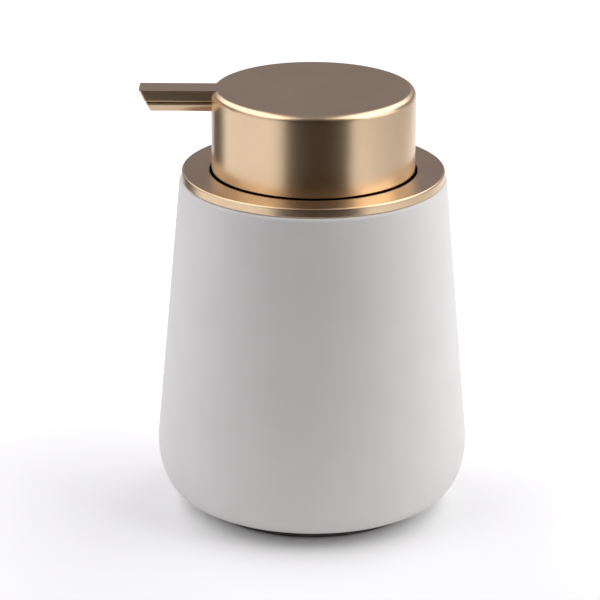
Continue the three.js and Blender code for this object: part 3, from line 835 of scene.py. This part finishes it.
class Finish:
    """A node material being built: its shader, and its coordinates in millimetres."""

    def __init__(self, name, roughness, metallic=0.0, **settings):
        self.material = bpy.data.materials.new(name)
        self.material.use_nodes = True
        self.nodes = self.material.node_tree.nodes
        self.links = self.material.node_tree.links
        self.shader = self.nodes["Principled BSDF"]
        self.shader.inputs["Metallic"].default_value = metallic
        self.shader.inputs["Roughness"].default_value = roughness
        for socket, value in settings.items():
            self.shader.inputs[socket.replace("_", " ")].default_value = value
        self.place = self.nodes.new("ShaderNodeTexCoord").outputs["Object"]

    def noise(self, per_mm, detail=2.0, rough=0.5):
        """Noise with so many grains to the millimetre, along each axis if three numbers are given."""
        along = per_mm if isinstance(per_mm, tuple) else (per_mm,) * 3
        mapping = self.nodes.new("ShaderNodeMapping")
        mapping.inputs["Scale"].default_value = [a * PER_MM for a in along]
        self.links.new(self.place, mapping.inputs["Vector"])
        noise = self.nodes.new("ShaderNodeTexNoise")
        noise.inputs["Scale"].default_value = 1.0
        noise.inputs["Detail"].default_value = detail
        noise.inputs["Roughness"].default_value = rough
        self.links.new(mapping.outputs["Vector"], noise.inputs["Vector"])
        return noise.outputs["Fac"]

    def shades(self, noise, *stops):
        """Colours along a noise: each stop is a position and a linear colour."""
        ramp = self.nodes.new("ShaderNodeValToRGB")
        elements = ramp.color_ramp.elements
        while len(elements) < len(stops):
            elements.new(0.5)
        for element, (position, colour) in zip(elements, stops):
            element.position = position
            element.color = (*colour, 1)
        self.links.new(noise, ramp.inputs["Fac"])
        return ramp.outputs["Color"]

    def colour(self, socket):
        self.links.new(socket, self.shader.inputs["Base Color"])
        return self

    def roughness(self, noise, low, high):
        spread = self.nodes.new("ShaderNodeMapRange")
        spread.inputs["From Min"].default_value = NOISE_LOW
        spread.inputs["From Max"].default_value = NOISE_HIGH
        spread.inputs["To Min"].default_value = low
        spread.inputs["To Max"].default_value = high
        self.links.new(noise, spread.inputs["Value"])
        self.links.new(spread.outputs["Result"], self.shader.inputs["Roughness"])
        return self

    def bump(self, noise, height_mm, strength=1.0):
        """Adds relief of about this height. A second call stacks on the first."""
        bump = self.nodes.new("ShaderNodeBump")
        bump.inputs["Distance"].default_value = height_mm * MM
        bump.inputs["Strength"].default_value = strength
        self.links.new(noise, bump.inputs["Height"])
        before = self.shader.inputs["Normal"].links
        if before:
            self.links.new(before[0].from_socket, bump.inputs["Normal"])
        self.links.new(bump.outputs["Normal"], self.shader.inputs["Normal"])
        return self


def wear(finish, *pieces):
    """Puts a finish on pieces, in place of whatever they had."""
    for piece in pieces:
        piece.data.materials.clear()
        piece.data.materials.append(finish.material)


# %% [markdown]
# ### Stoneware
#
# The glaze is matt and warm white. Close up it is never perfectly even: it pools a little, so its tint
# drifts over a centimetre or two, and fine grit in it leaves a soft, dry grain that spreads the highlight.

# %% Stoneware
stoneware = Finish("matt stoneware glaze", 0.55, Specular_IOR_Level=0.35)
drift = stoneware.noise(0.07, 2.0)
stoneware.colour(stoneware.shades(drift, (0.35, (0.63, 0.623, 0.607)), (0.65, (0.645, 0.638, 0.622))))
grain = stoneware.noise(2.6, 3.0, 0.6)
stoneware.roughness(grain, 0.5, 0.62)
stoneware.bump(stoneware.noise(0.12, 1.0), 0.05, 0.15)
stoneware.bump(grain, 0.012, 0.6)
wear(stoneware, vessel)

# %% [markdown]
# ### Satin brass
#
# The cap, ring and spout are brushed and then plated, so a highlight on them is a soft band, not a mirror
# image. The brushing runs level round the sides. Noise that is long along X and Y and short along Z draws
# those fine level lines, on the turned pieces and on the spout alike, and leaves a flat top plain.

# %% Satin brass
brass = Finish("satin brass", 0.3, metallic=1.0)
tone = brass.noise(0.05, 1.0)
brass.colour(brass.shades(tone, (0.35, (0.725, 0.545, 0.357)), (0.65, (0.74, 0.56, 0.37))))
brushing = brass.noise((0.1, 0.1, 14.0), 3.0, 0.6)
brass.roughness(brushing, 0.28, 0.32)
brass.bump(brushing, 0.0004, 0.4)
wear(brass, cap, channel, ring)

# %% [markdown]
# ### Plastics, silicone and rubber
#
# The stopper body is black moulded plastic with a faint spark-eroded grain. The parts inside are the
# uncoloured polypropylene that pumps are made of. It lets a little light in, which subsurface scattering
# gives. The seal is cloudy silicone, and the pad under the foot is dark grey rubber.

# %% Plastics, silicone and rubber
black = Finish("black moulded plastic", 0.42)
black.colour(black.shades(black.noise(0.2), (0.3, (0.012, 0.012, 0.011)), (0.7, (0.019, 0.019, 0.018))))
black.roughness(black.noise(3.0), 0.38, 0.5).bump(black.noise(3.0), 0.006, 0.5)

natural = Finish(
    "natural polypropylene", 0.38,
    Subsurface_Weight=0.25, Subsurface_Radius=(1, 1, 0.95), Subsurface_Scale=0.002,
)
natural.colour(natural.shades(natural.noise(0.15), (0.3, (0.77, 0.77, 0.73)), (0.7, (0.82, 0.82, 0.79))))
natural.roughness(natural.noise(0.8), 0.33, 0.45).bump(natural.noise(0.5), 0.01, 0.3)

white = Finish("white moulded plastic", 0.3)
white.colour(white.shades(white.noise(0.15), (0.3, (0.83, 0.83, 0.81)), (0.7, (0.87, 0.87, 0.86))))
white.roughness(white.noise(0.8), 0.26, 0.36).bump(white.noise(0.6), 0.008, 0.3)

silicone = Finish(
    "cloudy silicone", 0.4, Subsurface_Weight=0.5, Subsurface_Radius=(1, 1, 1), Subsurface_Scale=0.003,
)
silicone.colour(silicone.shades(silicone.noise(0.2), (0.3, (0.66, 0.68, 0.68)), (0.7, (0.72, 0.73, 0.73))))
silicone.roughness(silicone.noise(1.5), 0.35, 0.5).bump(silicone.noise(1.2), 0.008, 0.4)

rubber = Finish("dark rubber", 0.8, Specular_IOR_Level=0.3)
rubber.colour(rubber.shades(rubber.noise(0.6), (0.3, (0.075, 0.073, 0.07)), (0.7, (0.095, 0.093, 0.09))))
rubber.roughness(rubber.noise(2.0), 0.72, 0.9).bump(rubber.noise(2.5), 0.02, 0.5)

steel = Finish("spring steel", 0.25, metallic=1.0)
steel.colour(steel.shades(steel.noise(0.5), (0.3, (0.52, 0.53, 0.54)), (0.7, (0.6, 0.6, 0.61))))
steel.roughness(steel.noise(2.0), 0.2, 0.34).bump(steel.noise(4.0), 0.002, 0.5)

wear(black, cup)
wear(silicone, seal)
wear(rubber, pad)
wear(silicone, gasket, washer)
wear(black, nut)
wear(natural, housing, tube, piston)
wear(white, guide, stem, rod, core)
wear(steel, spring)

# %% [markdown]
# ### Glass
#
# The bead is clear glass with a faint green cast and a few fine waves from moulding.

# %% Glass
glass = Finish("clear bead glass", 0.04, Transmission_Weight=0.9, IOR=1.52)
glass.colour(glass.shades(glass.noise(0.4), (0.3, (0.8, 0.87, 0.84)), (0.7, (0.86, 0.91, 0.89))))
glass.roughness(glass.noise(1.5), 0.02, 0.07).bump(glass.noise(0.8), 0.004, 0.3)
wear(glass, ball)

# %% [markdown]
# ## The studio
#
# The dispenser stands on a plain pale floor. Two very large ceiling boxes light it from above, with a gap
# between them, and two smaller boxes lift its left and right sides. Satin metal shows little but its
# surroundings, so low cards stand on the floor round it. A dark one in front draws the dark band down the
# middle of the cap and also keeps light off the vessel's front. A small dark one behind on the left and a
# grey one on the right draw the darker bands near the cap's edges, and a white one draws the pale band on
# the left. The dim, slightly blue world is what the level tops mirror.

# %% Floor, lights and cards
view = bpy.context.scene.view_settings
view.view_transform = "Standard"

floor_finish = Finish("pale floor", 0.9, Specular_IOR_Level=0.1)
floor_finish.colour(
    floor_finish.shades(floor_finish.noise(0.002), (0.3, (0.93, 0.93, 0.93)), (0.7, (0.95, 0.95, 0.95)))
)


def plane(name, half_x, half_y):
    bm = bmesh.new()
    bmesh.ops.create_grid(bm, x_segments=1, y_segments=1, size=1)
    bmesh.ops.scale(bm, vec=(half_x, half_y, 1), verts=bm.verts)
    mesh = bpy.data.meshes.new(name)
    bm.to_mesh(mesh)
    bm.free()
    made = bpy.data.objects.new(name, mesh)
    bpy.context.scene.collection.objects.link(made)
    return made


FLOOR_DROP = 0.00005  # the floor lies a hair under the pad, so that the two faces never fight
floor = plane("floor", 6, 6)
floor.location.z = -FLOOR_DROP
wear(floor_finish, floor)


def softbox(name, place, target, width, height, power):
    light = bpy.data.lights.new(name, "AREA")
    light.shape = "RECTANGLE"
    light.size, light.size_y = width, height
    light.energy = power
    lamp = bpy.data.objects.new(name, light)
    bpy.context.scene.collection.objects.link(lamp)
    lamp.location = place
    lamp.rotation_euler = (Vector(target) - Vector(place)).to_track_quat("-Z", "Y").to_euler()
    lamp.visible_camera = False


SIDE_TARGET = (0, 0, 0.22)
CEILING_X, CEILING_Y, CEILING_Z = 1.5, 0.2, 1.4
CEILING_WIDTH, CEILING_LENGTH = 2.1, 4.4
softbox("left box", (-0.62, -0.30, 0.30), SIDE_TARGET, 0.7, 0.6, 0.56)
softbox("right box", (0.66, -0.17, 0.30), SIDE_TARGET, 0.6, 0.6, 1.68)
for side, x, power in (("left", -CEILING_X, 54), ("right", CEILING_X, 60)):
    softbox(
        f"{side} ceiling box", (x, CEILING_Y, CEILING_Z), (x, CEILING_Y, 0),
        CEILING_WIDTH, CEILING_LENGTH, power,
    )

dark = Finish("dark brown card", 0.9, Specular_IOR_Level=0.1)
dark.colour(dark.shades(dark.noise(0.01), (0.3, (0.014, 0.006, 0.0015)), (0.7, (0.018, 0.008, 0.002))))
grey = Finish("grey card", 0.9, Specular_IOR_Level=0.1)
grey.colour(grey.shades(grey.noise(0.01), (0.3, (0.5, 0.5, 0.5)), (0.7, (0.54, 0.54, 0.54))))

white_card = Finish("white card", 0.9, Specular_IOR_Level=0.1)
white_card.colour(
    white_card.shades(white_card.noise(0.01), (0.3, (0.95, 0.95, 0.95)), (0.7, (0.97, 0.97, 0.97)))
)


def card(name, azimuth, distance, half_width, half_height, finish, shades=False):
    """A card on the floor, facing the dispenser. It is there for the metal to mirror, or to shade as well."""
    turn = Matrix.Rotation(math.radians(azimuth), 4, "Z")
    made = plane(name, half_width, half_height)
    stand = Matrix.Translation((0, -distance, half_height)) @ Matrix.Rotation(math.radians(90), 4, "X")
    made.matrix_world = turn @ stand
    made.visible_camera = False
    made.visible_diffuse = shades
    made.visible_shadow = shades
    wear(finish, made)


card("front card", 4.5, 0.17, 0.122, 0.15, dark, shades=True)
card("back left card", -131, 0.25, 0.07, 0.05, dark)
card("left card", -68, 0.28, 0.19, 0.05, white_card)
card("right card", 96, 0.28, 0.33, 0.045, grey)

world = bpy.data.worlds.new("studio")
bpy.context.scene.world = world
world.use_nodes = True
sky = world.node_tree.nodes["Background"]
DIM_BLUISH = (0.215, 0.20, 0.235, 1)
sky.inputs["Color"].default_value = DIM_BLUISH
sky.inputs["Strength"].default_value = 1.0

# %% [markdown]
# ## Camera
#
# A long lens at about eight tenths of a metre, looking down by some twenty degrees, shows the flat top and
# the upright side of the cap together and keeps the wall's taper free of perspective.

# %% Camera
def aim(camera, target, azimuth, elevation, distance, roll):
    a, e = math.radians(azimuth), math.radians(elevation)
    back = Vector((math.sin(a) * math.cos(e), -math.cos(a) * math.cos(e), math.sin(e)))
    camera.location = target + back * distance
    turn = (-back).to_track_quat("-Z", "Y")
    camera.rotation_euler = (turn @ Matrix.Rotation(math.radians(roll), 3, "Z").to_quaternion()).to_euler()


FOCAL, SENSOR = 178, 36
SHIFT_X, SHIFT_Y = -0.0213, -0.0202
LOOK_AT = Vector((0, 0, 0.0607))
ELEVATION, DISTANCE, ROLL = 19.82, 0.8095, 0.3
lens = bpy.data.cameras.new("camera")
camera = bpy.data.objects.new("camera", lens)
bpy.context.scene.collection.objects.link(camera)
bpy.context.scene.camera = camera
lens.sensor_width = SENSOR
lens.lens = FOCAL
lens.shift_x, lens.shift_y = SHIFT_X, SHIFT_Y
aim(camera, LOOK_AT, 0, ELEVATION, DISTANCE, ROLL)
lens.clip_start, lens.clip_end = 0.05, 20
